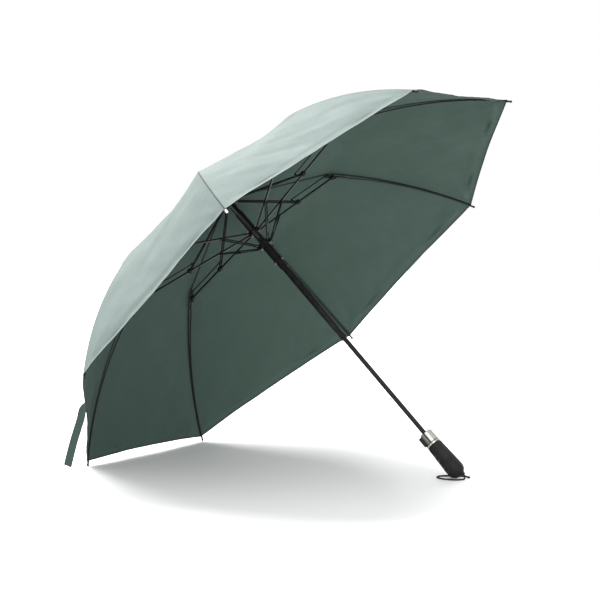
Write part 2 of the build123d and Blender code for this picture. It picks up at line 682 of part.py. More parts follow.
# ---------------------------------------------------------------- wrist loop on the floor
def make_wrist_loop():
    """Cord that leaves the grip's end, lies round it on the floor and goes back in."""
    first = resting_point(PLUG_OFFSET, -CORD_SPREAD, PLUG_FACE)
    last = resting_point(PLUG_OFFSET, CORD_SPREAD, PLUG_FACE)
    leave = resting_point(PLUG_OFFSET, -CORD_SPREAD, PLUG_FACE - CORD_LEAD)
    lie = CORD_DIAMETER / 2 + CORD_LIFT
    route = [
        (first.X, first.Y, first.Z),
        (leave.X, leave.Y, leave.Z),
        (first.X + 9.5, -14.0, lie),
        (first.X + 3.5, -27.0, lie),
        (first.X - 12.5, -33.0, lie),
        (first.X - 32.5, -31.0, lie),
        (first.X - 49.5, -21.0, lie),
        (first.X - 56.0, -6.0, lie),
        (first.X - 48.0, 9.0, lie),
        (first.X - 32.0, 18.5, lie),
        (first.X - 13.5, 21.5, lie),
        (first.X + 2.5, 20.0, lie),
        (first.X + 10.5, 12.0, lie),
        (leave.X, -leave.Y, leave.Z),
        (last.X, last.Y, last.Z),
    ]
    corners = [Vector(*point) for point in route]
    radii = []
    for before, here, after in zip(corners, corners[1:], corners[2:]):
        turn = (here - before).get_angle(after - here)
        shorter = min((here - before).length, (after - here).length)
        radii.append(CORNER_SHARE * shorter / tan(radians(turn / 2)))
    with BuildPart() as loop:
        with BuildLine() as line:
            FilletPolyline(*corners, radius=radii)
        with BuildSketch(Plane(origin=line.line @ 0, z_dir=line.line % 0)):
            Circle(CORD_DIAMETER / 2)
        sweep(path=line.line)
    print("wrist loop length", round(line.wire().length, 1), "tightest corner", round(min(radii), 1))
    loop.part.label = "wrist_loop"
    resting.append(loop.part)


# ---------------------------------------------------------------- tie strap on the far gore
def make_tie_strap():
    """Flat band that hangs from the hem of one gore, swung a little outwards."""
    high_angle = radians(HALF_PITCH + 5 * RIB_PITCH)
    low_angle = radians(HALF_PITCH + 4 * RIB_PITCH)
    hem_radius, hem_height = CLOTH_HEM
    high = resting_point(hem_radius * cos(high_angle), hem_radius * sin(high_angle), hem_height)
    low = resting_point(hem_radius * cos(low_angle), hem_radius * sin(low_angle), hem_height)
    anchor = high + (low - high) * STRAP_PLACE
    outwards = Vector(-0.87, -0.49, 0)
    band_plane = Plane(origin=anchor, x_dir=outwards, z_dir=outwards.cross(Vector(0, 0, 1)))
    half = STRAP_WIDTH / 2
    start = (STRAP_GAP + half, STRAP_RISE)
    bow = (STRAP_BOW[0] * STRAP_SWING + half, -STRAP_BOW[1] * STRAP_DROP)
    end = (STRAP_SWING + half, -STRAP_DROP)
    with BuildPart() as strap:
        with BuildSketch(band_plane):
            with BuildLine() as middle:
                ThreePointArc(start, bow, end)
            trace(line_width=STRAP_WIDTH)
        extrude(amount=STRAP_THICKNESS / 2, both=True)
    print("tie strap length", round(middle.wire().length, 1), "anchor", [round(v, 1) for v in anchor])
    strap.part.label = "tie_strap"
    resting.append(strap.part)


make_wrist_loop()
make_tie_strap()

os.makedirs("parts", exist_ok=True)
for piece in resting:
    export_step(piece, f"parts/{piece.label}.step")
print("pieces", len(resting), "shaft slope", round(shaft_tilt, 3), "shift x", round(-middle_x, 3),
      "tip plane height", round(tip_plane_height, 3))
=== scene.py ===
"""Golf umbrella, open and resting on two rib tips and its grip: the visible model.

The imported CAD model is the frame, in metres with Z up.  Cloth, tie strap, wrist cord, rib tips,
joint bosses, hub studs and finishes are made here, in the same frame.
"""
import json
from math import atan2, cos, pi, radians, sin

import bmesh
import bpy
import numpy as np
from mathutils import Matrix, Vector


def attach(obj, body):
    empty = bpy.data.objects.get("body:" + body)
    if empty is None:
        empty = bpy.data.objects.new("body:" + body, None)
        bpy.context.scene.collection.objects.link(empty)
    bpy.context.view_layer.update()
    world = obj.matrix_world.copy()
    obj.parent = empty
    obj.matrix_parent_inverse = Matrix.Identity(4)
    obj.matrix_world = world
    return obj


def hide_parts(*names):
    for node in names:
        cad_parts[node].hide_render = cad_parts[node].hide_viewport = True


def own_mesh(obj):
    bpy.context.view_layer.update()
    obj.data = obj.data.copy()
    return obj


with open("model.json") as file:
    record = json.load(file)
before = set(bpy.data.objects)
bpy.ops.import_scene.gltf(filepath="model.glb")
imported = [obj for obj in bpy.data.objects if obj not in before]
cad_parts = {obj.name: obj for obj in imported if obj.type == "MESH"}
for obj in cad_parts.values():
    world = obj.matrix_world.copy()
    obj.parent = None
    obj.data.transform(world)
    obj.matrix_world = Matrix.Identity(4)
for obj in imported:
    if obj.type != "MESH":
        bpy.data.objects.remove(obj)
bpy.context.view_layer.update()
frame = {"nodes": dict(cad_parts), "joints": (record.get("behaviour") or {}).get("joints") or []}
scene = bpy.context.scene
JOINTS = {joint["name"]: joint for joint in frame["joints"]}
MM = 0.001
RIBS = range(1, 9)
PITCH = pi / 4                       # angle between ribs
SEED = 11

# ---------------------------------------------------------------- the umbrella's own axes
CROWNWARD = -Vector(JOINTS["runner_slide"]["axis"]).normalized()
ACROSS = Vector((0, 1, 0))
UPWARD = ACROSS.cross(CROWNWARD)
CROWN_PIVOT = (12 * MM, 246 * MM)    # a rib's hinge at the crown: distance from the shaft, height


def hinge_place(name):
    return Vector(JOINTS[name]["pos_m"])


def hinge_axis(name):
    return Vector(JOINTS[name]["axis"])


first_radial = CROWNWARD.cross(hinge_axis("crown_hinge_1"))
ORIGIN = (hinge_place("crown_hinge_1") - first_radial * CROWN_PIVOT[0]
          - CROWNWARD * CROWN_PIVOT[1])


def rib_angle(index):
    return (index - 0.5) * PITCH


def placed(x, y, z):
    """Point in the frame from umbrella coordinates: z along the shaft, 0 at the rib tips."""
    return ORIGIN + UPWARD * x + ACROSS * y + CROWNWARD * z


def on_rib(rib, radius, height):
    """Point in the plane of one rib, from its distance to the shaft and its height, in mm."""
    angle = rib_angle(rib)
    return placed(radius * MM * cos(angle), radius * MM * sin(angle), height * MM)


# ---------------------------------------------------------------- camera
camera_data = bpy.data.cameras.new("camera")
camera_data.sensor_width = 36
camera_data.lens = 109.73
camera = bpy.data.objects.new("camera", camera_data)
camera.location = (1.94265, -3.41873, 0.58826)
camera.rotation_euler = [radians(turn) for turn in (86.652, 0.127, 29.522)]
scene.collection.objects.link(camera)
scene.camera = camera


# ---------------------------------------------------------------- materials
class Finish:
    """One procedural material, with short words for wiring its nodes."""

    def __init__(self, name, colour, roughness, **sockets):
        self.material = bpy.data.materials.new(name)
        self.material.use_nodes = True
        self.tree = self.material.node_tree
        self.shader = self.tree.nodes["Principled BSDF"]
        self.colour = (*colour, 1)
        self.shader.inputs["Base Color"].default_value = self.colour
        self.shader.inputs["Roughness"].default_value = roughness
        for socket, value in sockets.items():
            self.shader.inputs[socket.replace("_", " ")].default_value = value

    def node(self, kind, out=0, settings=None, **inputs):
        """Output of a new node.  An input named _3 is the socket of that number."""
        made = self.tree.nodes.new("ShaderNode" + kind)
        for key, value in (settings or {}).items():
            setattr(made, key, value)
        for key, value in inputs.items():
            socket = made.inputs[int(key[1:]) if key[0] == "_" else key.replace("_", " ")]
            if isinstance(value, bpy.types.NodeSocket):
                self.tree.links.new(value, socket)
            else:
                socket.default_value = value
        return made.outputs[out]

    def math(self, operation, a, b=0.0, c=0.0):
        return self.node("Math", settings={"operation": operation}, _0=a, _1=b, _2=c)

    def times(self, a, b):
        return self.math("MULTIPLY", a, b)

    def plus(self, a, b):
        return self.math("ADD", a, b)

    def minus(self, a, b):
        return self.math("SUBTRACT", a, b)

    def most(self, a, b):
        return self.math("MAXIMUM", a, b)

    def wave(self, place, turn_rate):
        """Sine of a place times radians per unit."""
        return self.math("SINE", self.times(place, turn_rate))

    def remap(self, value, low, high, to_low, to_high):
        return self.node("MapRange", Value=value, From_Min=low, From_Max=high,
                         To_Min=to_low, To_Max=to_high)

    def mix(self, share, first, second):
        return self.node("Mix", out=2, settings={"data_type": "RGBA"},
                         _0=share, _6=first, _7=second)

    def noise(self, where, scale, detail=3.0, roughness=0.55):
        """Noise with its scale in cells per metre."""
        return self.node("TexNoise", Vector=where, Scale=scale, Detail=detail, Roughness=roughness)

    def grain(self, where, scale, detail=3.0, roughness=0.55):
        """Noise with its own scale along each axis, in cells per metre."""
        return self.noise(self.stretched(where, scale), 1.0, detail, roughness)

    def stretched(self, where, scale):
        return self.node("Mapping", Vector=where, Scale=scale)

    def here(self):
        return self.node("TexCoord", out=3)

    def shaft_place(self):
        """Position in the umbrella's own axes, so that grain can follow the shaft."""
        turn = atan2(-CROWNWARD.x, CROWNWARD.z)
        offset = -(Matrix.Rotation(turn, 3, "Y") @ ORIGIN)
        return self.node("Mapping", Vector=self.here(), Location=offset, Rotation=(0, turn, 0))

    def parts(self, place):
        return (self.node("SeparateXYZ", out=part, Vector=place) for part in range(3))

    def colour_from(self, source):
        self.tree.links.new(source, self.shader.inputs["Base Color"])

    def roughness_from(self, source):
        self.tree.links.new(source, self.shader.inputs["Roughness"])

    def bump(self, height, strength, distance):
        normal = self.node("Bump", Height=height, Strength=strength, Distance=distance)
        self.tree.links.new(normal, self.shader.inputs["Normal"])


def tinted(colour, factor):
    return tuple(min(1.0, part * factor) for part in colour[:3]) + (1,)


THREAD_PITCH = 0.6 * MM
STITCH_PITCH = 2.6 * MM
STITCH_HALF = 0.35 * MM              # half the width of a row of stitches
STITCH_GAP = -0.2                    # a stitch shows where its sine is above this
SEAM_STITCHES = 2.4 * MM             # from the edge of the dark band along the rib to the row of stitches
JOIN_FADE = 1.1 * MM
HEM_STITCHES = 7.5 * MM              # from the hem's edge to its row of stitches
HEM_DOUBLED = (7.0 * MM, 8.0 * MM)   # the doubled cloth ends between these
HEM_EDGE = (2.0 * MM, 3.2 * MM)      # and its edge, darkened by painted shade, between these


def cloth_finish(name, colour, roughness, edge_shade, join_and_shade_half):
    """Plain-woven pongee: threads, slubs, faint mottling, the rib seam and the stitched hem; the
    arguments widen the seam's dark band and darken the hem's edge as painted shade.
    """
    f = Finish(name, colour, roughness, Specular_IOR_Level=0.06)
    place = f.node("Attribute", out=1, settings={"attribute_name": "cloth"})
    seam = f.node("Attribute", out=2, settings={"attribute_name": "seam"})
    across, along, to_hem = f.parts(place)
    thread = 2 * pi / THREAD_PITCH
    stitch = 2 * pi / STITCH_PITCH
    weave = f.times(f.wave(along, thread), f.wave(across, thread))
    slubs = f.plus(f.grain(place, (26, 620, 0), 2.0), f.grain(place, (620, 26, 0), 2.0))
    mottle = f.noise(f.stretched(place, (1, 1, 0)), 14.0, 4.0)
    woven = f.mix(f.remap(slubs, 0.7, 1.3, 0, 1), tinted(colour, 0.93), tinted(colour, 1.07))
    aged = f.mix(f.remap(mottle, 0.3, 0.7, 0, 0.5), woven, tinted(colour, 0.9))
    # rib seam: a dark band along the rib, the folded seam, which on the inside is widened by
    # painted shade of the rib; then a row of stitches on each side of it
    join_and_shade = f.remap(seam, join_and_shade_half, join_and_shade_half + JOIN_FADE, 1, 0)
    seam_row = f.math("COMPARE", seam, join_and_shade_half + SEAM_STITCHES, STITCH_HALF)
    seam_dash = f.math("GREATER_THAN", f.wave(along, stitch), STITCH_GAP)
    # hem: doubled cloth with one row of stitches; the doubled band is drawn lighter, and edge_shade
    # darkens it and the hem's edge as painted shade
    hem_row = f.math("COMPARE", to_hem, HEM_STITCHES, STITCH_HALF)
    hem_dash = f.math("GREATER_THAN", f.wave(across, stitch), STITCH_GAP)
    stitches = f.most(f.times(seam_row, seam_dash), f.times(hem_row, hem_dash))
    doubled = f.remap(to_hem, *HEM_DOUBLED, 0.3, 0)
    banded = f.mix(doubled, aged, tinted(colour, 1.25 - 0.6 * edge_shade))
    stitched = f.mix(f.times(stitches, 0.5), banded, tinted(colour, 0.45))
    edge = f.remap(to_hem, *HEM_EDGE, edge_shade, 0)
    f.colour_from(f.mix(f.most(f.times(join_and_shade, 0.9), edge), stitched, tinted(colour, 0.16)))
    f.roughness_from(f.remap(mottle, 0.3, 0.7, roughness - 0.05, roughness + 0.06))
    relief = f.plus(f.times(weave, 0.25), f.times(slubs, 0.6))
    f.bump(f.minus(relief, f.times(stitches, 1.5)), 0.35, 0.25 * MM)
    return f.material


def enamel_finish(name, colour, roughness, coat, wear):
    """Black enamel on metal: faint orange peel, dust and rubbed scratches along the shaft."""
    f = Finish(name, colour, roughness, Coat_Weight=coat, Coat_Roughness=0.2,
               Specular_IOR_Level=0.22)
    place = f.shaft_place()
    peel = f.noise(place, 900.0, 2.0)
    dust = f.noise(place, 70.0, 5.0, 0.65)
    scratch = f.grain(place, (1500, 1500, 22), 2.0)
    rubbed = f.times(f.remap(scratch, 0.66, 0.74, 0, wear), f.remap(dust, 0.45, 0.6, 0, 1))
    shade = f.mix(f.remap(dust, 0.4, 0.7, 0, 1), f.colour, tinted(colour, 1.7))
    f.colour_from(f.mix(rubbed, shade, (0.28, 0.28, 0.27, 1)))
    f.roughness_from(f.remap(dust, 0.35, 0.7, roughness - 0.05, roughness + 0.12))
    f.bump(f.plus(peel, f.times(rubbed, -2.0)), 0.12, 0.1 * MM)
    return f.material


def plastic_finish(name, colour, roughness):
    """Moulded nylon: spark-eroded grain and a little polish where it is handled."""
    f = Finish(name, colour, roughness, Specular_IOR_Level=0.2)
    place = f.shaft_place()
    eroded = f.noise(place, 2600.0, 2.0, 0.7)
    handled = f.noise(place, 120.0, 3.0)
    f.colour_from(f.mix(f.remap(handled, 0.35, 0.7, 0, 1), f.colour, tinted(colour, 1.2)))
    f.roughness_from(f.remap(handled, 0.35, 0.65, roughness + 0.08, roughness - 0.1))
    f.bump(eroded, 0.3, 0.12 * MM)
    return f.material


RIBBING_COUNT = 90.0                 # fine ribs round the grip
RIBBING_LOW = (-0.486, -0.476)       # the ribbing fades in over these heights along the shaft
RIBBING_HIGH = (-0.464, -0.4625)     # and out over these


def rubber_finish(name, colour):
    """Soft-touch rubber: fine lengthwise ribbing under the rim, speckle, dull shine on the palm."""
    f = Finish(name, colour, 0.62, Specular_IOR_Level=0.22)
    place = f.shaft_place()
    x, y, z = f.parts(place)
    ribbing = f.wave(f.math("ARCTAN2", y, x), RIBBING_COUNT)
    ribbed = f.times(f.remap(z, *RIBBING_LOW, 0, 1), f.remap(z, *RIBBING_HIGH, 1, 0))
    speckle = f.node("TexVoronoi", Vector=place, Scale=1500.0)
    skin = f.noise(place, 420.0, 4.0, 0.6)
    palm = f.noise(place, 45.0, 3.0)
    f.colour_from(f.mix(f.remap(palm, 0.35, 0.7, 0, 1), f.colour, tinted(colour, 1.7)))
    f.roughness_from(f.remap(palm, 0.35, 0.7, 0.68, 0.5))
    height = f.plus(f.times(f.times(ribbing, ribbed), 0.8),
                    f.plus(f.times(speckle, 0.5), f.times(skin, 0.5)))
    f.bump(height, 0.5, 0.22 * MM)
    return f.material


def brushed_finish(name, colour, roughness):
    """Bare metal with a grain brushed round it and a few deeper scratches."""
    f = Finish(name, colour, roughness, Metallic=1.0)
    place = f.shaft_place()
    brushing = f.grain(place, (60, 60, 2600), 3.0, 0.7)
    cloud = f.noise(place, 90.0, 3.0)
    f.colour_from(f.mix(f.remap(brushing, 0.3, 0.7, 0, 1),
                        tinted(colour, 0.78), tinted(colour, 1.08)))
    f.roughness_from(f.remap(f.plus(brushing, cloud), 0.7, 1.3,
                             roughness - 0.08, roughness + 0.12))
    f.bump(brushing, 0.25, 0.06 * MM)
    return f.material


BUTTON_HEADING = radians(220)        # where the button sits round the shaft
COLLAR_BAND = (-0.4537, -0.4302)     # heights of the collar's bright part along the shaft


def collar_finish(name, colour):
    """Brushed collar: blackened surround for the button, a grooved line beside it painted black as
    painted shade, dark end edges.
    """
    f = Finish(name, colour, 0.3, Metallic=1.0)
    place = f.shaft_place()
    x, y, z = f.parts(place)
    front_x, front_y = cos(BUTTON_HEADING), sin(BUTTON_HEADING)
    from_front = f.math("ABSOLUTE", f.math(
        "ARCTAN2", f.minus(f.times(y, front_x), f.times(x, front_y)),
        f.plus(f.times(x, front_x), f.times(y, front_y))))
    surround = f.remap(from_front, radians(33), radians(36), 1, 0)
    # the grooved line is cut in by the bump below and painted black in it: painted shade
    groove_and_shade = f.math("COMPARE", from_front, radians(66), radians(4.5))
    panel = f.remap(from_front, radians(61), radians(64), 0.6, 0)
    ends = f.most(f.math("GREATER_THAN", z, COLLAR_BAND[1]),
                  f.math("LESS_THAN", z, COLLAR_BAND[0]))
    dark = f.most(f.most(surround, groove_and_shade), f.most(panel, ends))
    brushing = f.grain(place, (2200, 2200, 60), 3.0, 0.7)
    cloud = f.noise(place, 90.0, 3.0)
    brushed = f.mix(f.remap(brushing, 0.3, 0.7, 0, 1), tinted(colour, 0.7), tinted(colour, 1.15))
    f.colour_from(f.mix(dark, brushed, (0.02, 0.02, 0.02, 1)))
    f.roughness_from(f.remap(f.plus(brushing, cloud), 0.7, 1.3, 0.22, 0.42))
    f.bump(f.minus(brushing, f.times(groove_and_shade, 2.0)), 0.25, 0.06 * MM)
    return f.material


def braid_finish(name, colour):
    """Braided cord: short crossed strand bumps, lighter on their crowns and darker in the gaps as
    painted shade, with a dry, faintly shiny surface.
    """
    f = Finish(name, colour, 0.6, Specular_IOR_Level=0.25)
    place = f.here()
    strands_and_shade = f.node("TexVoronoi", Vector=f.stretched(place, (1.0, 1.0, 1.6)), Scale=1100.0)
    fibres = f.noise(place, 3800.0, 2.0)
    # crowns of the strands lighter and the gaps between them darker, in step with the bump: painted
    # shade
    f.colour_from(f.mix(f.remap(strands_and_shade, 0.1, 0.7, 0, 1), tinted(colour, 2.4), f.colour))
    f.roughness_from(f.remap(fibres, 0.3, 0.7, 0.5, 0.72))
    f.bump(f.plus(f.times(strands_and_shade, -1.0), f.times(fibres, 0.3)), 0.8, 0.4 * MM)
    return f.material


def floor_finish(name):
    """Matt white studio floor, very faintly mottled."""
    f = Finish(name, (0.86, 0.86, 0.865), 0.55, Specular_IOR_Level=0.3)
    mottle = f.noise(f.here(), 3.0, 3.0)
    f.colour_from(f.mix(f.remap(mottle, 0.3, 0.7, 0, 1),
                        (0.855, 0.855, 0.86, 1), (0.87, 0.87, 0.872, 1)))
    return f.material


# outside: the cloth's green drawn paler and greyer than the inside, standing in for the sheen of
# its face: painted sheen
OUTSIDE = cloth_finish("cloth_outside", (0.176, 0.217, 0.206), 0.7, 0.0, 0.9 * MM)
# inside: the 2.6 mm dark band along each rib is the folded seam widened by painted shade of the
# rib, and edge_shade 0.9 paints shade on the hem's edge and doubled band
INSIDE = cloth_finish("cloth_inside", (0.05, 0.079, 0.0665), 0.72, 0.9, 2.6 * MM)
# strap: edge_shade 0.4 paints shade near its folded end
STRAP = cloth_finish("cloth_strap", (0.047, 0.07, 0.063), 0.72, 0.4, 0.9 * MM)
ENAMEL = enamel_finish("shaft_enamel", (0.006, 0.006, 0.0065), 0.34, 0.03, 0.35)
RIB_STEEL = enamel_finish("rib_steel", (0.006, 0.0065, 0.0065), 0.34, 0.06, 0.5)
PLASTIC = plastic_finish("black_plastic", (0.007, 0.007, 0.0075), 0.42)
NYLON = plastic_finish("pale_nylon", (0.62, 0.62, 0.6), 0.4)
RUBBER = rubber_finish("grip_rubber", (0.009, 0.0088, 0.0085))
COLLAR = collar_finish("brushed_collar", (0.52, 0.5, 0.475))
TRIM = brushed_finish("bright_trim", (0.5, 0.49, 0.48), 0.2)
SPRING = brushed_finish("spring_steel", (0.5, 0.5, 0.5), 0.3)
CORD = braid_finish("black_cord", (0.007, 0.007, 0.007))


def paint(material, *nodes):
    for name in nodes:
        slots = frame["nodes"][name].data.materials
        slots.clear()
        slots.append(material)


paint(ENAMEL, "outer_tube", "inner_tube")
paint(PLASTIC, "crown", "upper_runner", "lower_runner", "tube_sleeve", "top_cap", "ferrule",
      "cord_plug", "push_button", "handle_core")
paint(RUBBER, "grip")
paint(COLLAR, "collar")
paint(TRIM, "trim_ring", "detent_rivet")
paint(SPRING, "opening_spring", "button_spring")
for rib in RIBS:
    paint(RIB_STEEL, *(f"{bar}_{rib}" for bar in
                       ("upper_arm", "main_stretcher", "lower_strut", "control_link",
                        "outer_rib")))


# ---------------------------------------------------------------- wrist cord
CORD_DIAMETER = 3.2 * MM
EXIT_X = 391.4                       # where both ends leave the grip's plug, mm
CORD_ROUTE = [(EXIT_X + dx, y, z) for dx, y, z in (
    (0, -2.6, 8.3), (5, -2.6, 3.3), (9.5, -14, 1.7), (3.5, -27, 1.7), (-12.5, -33, 1.7),
    (-32.5, -31, 1.7), (-49.5, -21, 1.7), (-56, -6, 1.7), (-48, 9, 1.7), (-32, 18.5, 1.7),
    (-13.5, 21.5, 1.7), (2.5, 20, 1.7), (10.5, 12, 1.7), (5, 2.6, 3.3), (0, 2.6, 8.3))]

cord_curve = bpy.data.curves.new("wrist_cord", "CURVE")
cord_curve.dimensions = "3D"
cord_curve.bevel_depth = CORD_DIAMETER / 2
cord_curve.bevel_resolution = 5
cord_curve.use_fill_caps = True
cord_spline = cord_curve.splines.new("NURBS")
cord_spline.points.add(len(CORD_ROUTE) - 1)
for point, (x, y, z) in zip(cord_spline.points, CORD_ROUTE):
    point.co = (x * MM, y * MM, z * MM, 1)
cord_spline.order_u = 3
cord_spline.use_endpoint_u = True
cord_spline.resolution_u = 12
cord_curve.materials.append(CORD)
wrist_cord = bpy.data.objects.new("wrist_cord", cord_curve)
scene.collection.objects.link(wrist_cord)
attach(wrist_cord, "handle")
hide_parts("wrist_loop")


# ---------------------------------------------------------------- mesh helpers
WELD_DISTANCE = 1e-6
FLAT_EDGE = 1e-7


def mesh_object(name, points, faces, materials, smooth=True):
    mesh = bpy.data.meshes.new(name)
    mesh.from_pydata([tuple(point) for point in points], [], faces)
    for material in materials:
        mesh.materials.append(material)
    mesh.polygons.foreach_set("use_smooth", [smooth] * len(mesh.polygons))
    mesh.update()
    made = bpy.data.objects.new(name, mesh)
    scene.collection.objects.link(made)
    return made


def turn_outwards(made, weld=False):
    """Turns the normals outwards, with coincident points welded and flat faces dropped first."""
    work = bmesh.new()
    work.from_mesh(made.data)
    if weld:
        bmesh.ops.remove_doubles(work, verts=work.verts, dist=WELD_DISTANCE)
        bmesh.ops.dissolve_degenerate(work, edges=work.edges, dist=FLAT_EDGE)
    bmesh.ops.recalc_face_normals(work, faces=work.faces)
    work.to_mesh(made.data)
    work.free()


def lathe(name, profile, origin, axis, material, segments):
    """Closed turned piece: its profile is (distance along the axis, radius), in mm."""
    axis = Vector(axis).normalized()
    side = axis.orthogonal().normalized()
    other = axis.cross(side)
    points, faces = [], []
    for step in range(segments):
        angle = 2 * pi * step / segments
        spoke = side * cos(angle) + other * sin(angle)
        points += [Vector(origin) + axis * (length * MM) + spoke * (radius * MM)
                   for length, radius in profile]
    count = len(profile)
    for step in range(segments):
        here, there = step * count, (step + 1) % segments * count
        for row in range(count):
            after = (row + 1) % count
            faces.append((here + row, here + after, there + after, there + row))
    made = mesh_object(name, points, faces, [material])
    turn_outwards(made, weld=True)
    return made


def slab_faces(rows, columns, mirrored=False):
    """Faces of a closed slab of two sheets of points: the first sheet, the second, the rim."""
    count = rows * columns
    index = np.arange(count).reshape(rows, columns)
    a, b, c, d = (corner.ravel() for corner in
                  (index[:-1, :-1], index[:-1, 1:], index[1:, 1:], index[1:, :-1]))
    first, second = np.stack([a, d, c, b], axis=1), np.stack([a, b, c, d], axis=1)
    if mirrored:
        first, second = second, first
    faces = [*first.tolist(), *(second + count).tolist()]
    rim = [*index[0, :], *index[1:, -1], *index[-1, -2::-1], *index[-2:0:-1, 0]]
    for pair in zip(rim, rim[1:] + rim[:1]):
        p, q = (int(end) for end in (reversed(pair) if mirrored else pair))
        faces.append((p, q, q + count, p + count))
    return faces


def store(made, name, kind, field, values):
    attribute = made.data.attributes.new(name, kind, "POINT")
    attribute.data.foreach_set(field, np.ascontiguousarray(values, np.float32).ravel())


# ---------------------------------------------------------------- canopy cloth
# The cloth over a rib, as (distance from the shaft, height above the rib tips).
CLOTH_APEX = (8 * MM, 258 * MM)
CLOTH_KNEE = (300 * MM, 224.5 * MM)
CLOTH_HEM = (597 * MM, 7.5 * MM)
CLOTH_RISE = 18.9 * MM               # how far the outer rib bows out from its chord
CLOTH_THICKNESS = 0.5 * MM
SPLIT_RADIUS = 290 * MM              # the cloth is parted here, between arm and outer rib
KNEE_ROUNDING = 44 * MM
SAMPLE = 1 * MM
LINE_POINTS, ARC_POINTS = 300, 400


def cloth_profile():
    """Evenly spaced (radius, height) points of the cloth over a rib: straight, then curved."""
    apex, knee, hem = (np.array(point) for point in (CLOTH_APEX, CLOTH_KNEE, CLOTH_HEM))
    chord = hem - knee
    half = np.linalg.norm(chord) / 2
    radius = (half ** 2 + CLOTH_RISE ** 2) / (2 * CLOTH_RISE)
    square = np.array((-chord[1], chord[0])) / (2 * half)
    centre = (knee + hem) / 2 + square * (CLOTH_RISE - radius)
    start, end = (np.arctan2(*(point - centre)[::-1]) for point in (knee, hem))
    angles = np.linspace(start, end, ARC_POINTS)
    arc = centre + radius * np.stack([np.cos(angles), np.sin(angles)], axis=1)
    line = apex + np.linspace(0, 1, LINE_POINTS)[:-1, None] * (knee - apex)
    path = np.concatenate([line, arc])
    reach = np.concatenate([[0], np.cumsum(np.linalg.norm(np.diff(path, axis=0), axis=1))])
    even = np.arange(0, reach[-1], SAMPLE)
    even = np.append(even, reach[-1])
    path = np.stack([np.interp(even, reach, path[:, part]) for part in (0, 1)], axis=1)
    window = int(KNEE_ROUNDING / SAMPLE)
    kernel = np.ones(window) / window
    inside = slice(window // 2, -(window // 2))
    smooth = path.copy()
    for part in (0, 1):
        smooth[inside, part] = np.convolve(path[:, part], kernel, "same")[inside]
    return even, smooth


REACH, PROFILE = cloth_profile()
CLOTH_LENGTH = REACH[-1]
SLOPE = np.gradient(PROFILE, REACH, axis=0)
SPLIT = float(np.interp(SPLIT_RADIUS, PROFILE[:, 0], REACH))

random = np.random.default_rng(SEED)
# Soft waves in the cloth: (length in metres, heading in degrees, height in mm).
WAVES = [(0.26, 18, 1.2), (0.17, 68, 0.8), (0.12, -48, 0.5), (0.083, 35, 0.3),
         (0.05, -32, 0.2), (0.027, 24, 0.1)]
PHASES = random.uniform(0, 2 * pi, (len(WAVES), 8))       # one for each wave and gore
TIP_PHASE = random.uniform(0, 2 * pi, 16)                 # one for each end of each hem
TIP_PULL = random.uniform(0.5, 1.0, 16)
TIP_PLEAT = 1.3 * MM                 # height of the small pleats that fan out from a rib tip
TIP_PLEAT_START = 0.02               # they grow over this distance, in metres
TIP_PLEAT_REACH = 0.07               # and die away over this one
TIP_PLEAT_COUNT = 9
HEM_FOLDS = (2.0, 1.6, 2.2, 1.8, 1.6, 2.0, 5.5, 2.6)      # depth of the crease above each hem, mm
FOLD_HEIGHT = 0.014                  # the crease is this far above the hem at the rib, metres
FOLD_CLIMB = 0.05                    # and climbs this much for each metre from the rib
FOLD_WIDTH = 0.01
FOLD_REACH = 0.2
SEAM_HOLD = 0.035                    # a rib holds the waves down within this distance
SAG = 7.0 * MM                       # the cloth's inward sag between ribs, greatest half way down
SAG_EDGE = 2.0 * MM                  # and what is left of it at the crown and the hem
SAG_FULLNESS = 0.7
HEM_DIP = 6.0 * MM                   # how far the hem curves in between two tips
HEM_DIP_POWER = 8
CRIMP = 0.45 * MM                    # depth of the groove along a rib seam
CRIMP_HALF = 1.6 * MM
CRIMP_START = (0.02, 0.06)           # it begins between these distances from the crown


def step_up(value, low, high):
    share = np.clip((value - low) / (high - low), 0, 1)
    return share * share * (3 - 2 * share)


def cloth_points(gore, across, along):
    """Cloth surface of one gore, with its distances from the gore's middle and nearest seam.

    across is 0 at the gore's first rib and 1 at its second, along is metres from the crown.
    """
    arch = 4 * across * (1 - across)
    shifted = along - HEM_DIP * (along / CLOTH_LENGTH) ** HEM_DIP_POWER * arch
    radius, height = (np.interp(shifted, REACH, PROFILE[:, part]) for part in (0, 1))
    run, drop = (np.interp(shifted, REACH, SLOPE[:, part]) for part in (0, 1))
    first, second = rib_angle(gore), rib_angle(gore + 1)
    x = radius * ((1 - across) * cos(first) + across * cos(second))
    y = radius * ((1 - across) * sin(first) + across * sin(second))
    width = 2 * radius * sin(PITCH / 2)
    side = (across - 0.5) * width
    seam = np.minimum(across, 1 - across) * width
    panel = gore % 8                 # gore 0 and gore 8 are the same one
    lift = soft_waves(panel, side, along)
    for end, from_rib in enumerate((across * width, (1 - across) * width)):
        pull_at_tip(lift, panel, end, from_rib, CLOTH_LENGTH - along)
    free = step_up(seam, 0, SEAM_HOLD)
    bow = np.sin(pi * np.clip(along / CLOTH_LENGTH, 0, 1)) ** SAG_FULLNESS
    sag = SAG * arch * bow + SAG_EDGE * arch
    crimp = CRIMP * np.exp(-((seam / CRIMP_HALF) ** 2)) * step_up(along, *CRIMP_START)
    out = lift * free - sag - crimp
    facing = rib_angle(gore + across)
    point = np.stack([x - drop * np.cos(facing) * out, y - drop * np.sin(facing) * out,
                      height + run * out], axis=-1)
    return point, side, seam


def soft_waves(panel, side, along):
    """Height of the long soft waves, each bent a little so that no two gores look alike."""
    warp = 0.014 * np.sin(along * 19 + panel * 1.7) + 0.01 * np.sin(side * 27 + panel)
    lift = np.zeros_like(side)
    for (length, heading, rise), phases in zip(WAVES, PHASES):
        turn = radians(heading)
        distance = side * cos(turn) + along * sin(turn) + warp
        lift += rise * MM * np.sin(2 * pi / length * distance + phases[panel])
    return lift


